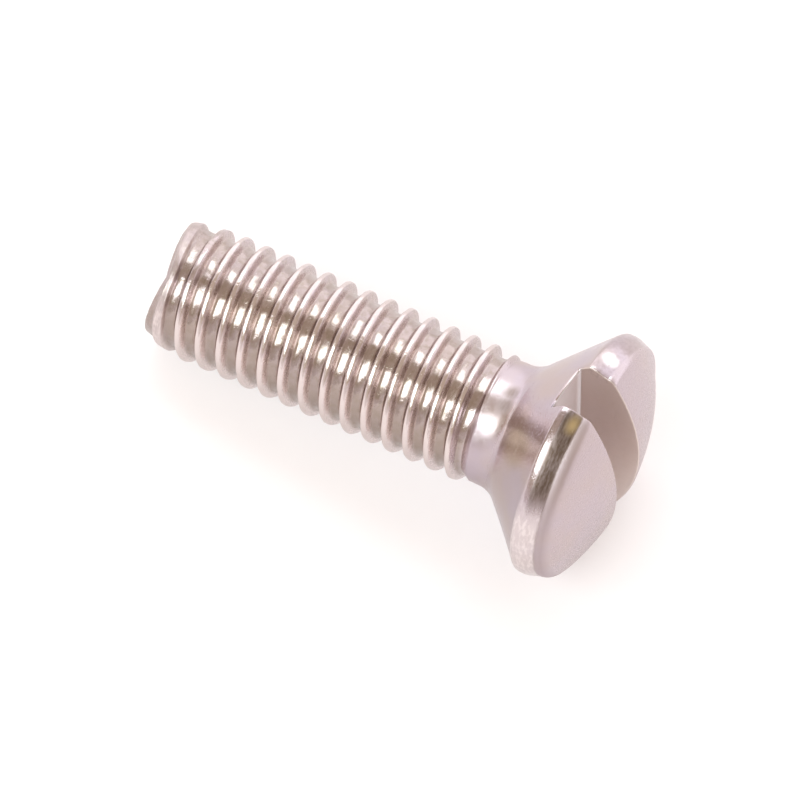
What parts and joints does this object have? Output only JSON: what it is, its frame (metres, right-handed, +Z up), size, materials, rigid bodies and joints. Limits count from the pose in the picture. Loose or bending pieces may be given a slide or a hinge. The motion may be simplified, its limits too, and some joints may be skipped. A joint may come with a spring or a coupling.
{
  "type": "machine screw",
  "caption": "Raised countersunk machine screw with a straight driver slot, a concave fillet under the head and a thread up to the neck.",
  "frame": {"origin": "middle of the base of the resting screw's box", "axes": "+X along the screw toward its head, which rises about 8 degrees, +Z up, the slot stands upright"},
  "size_m": [0.022, 0.0108, 0.0107],
  "materials": {
    "nickel_plate": "gloss"
  },
  "bodies": {
    "root": {"machine_screw": "nickel_plate"}
  },
  "joints": []
}
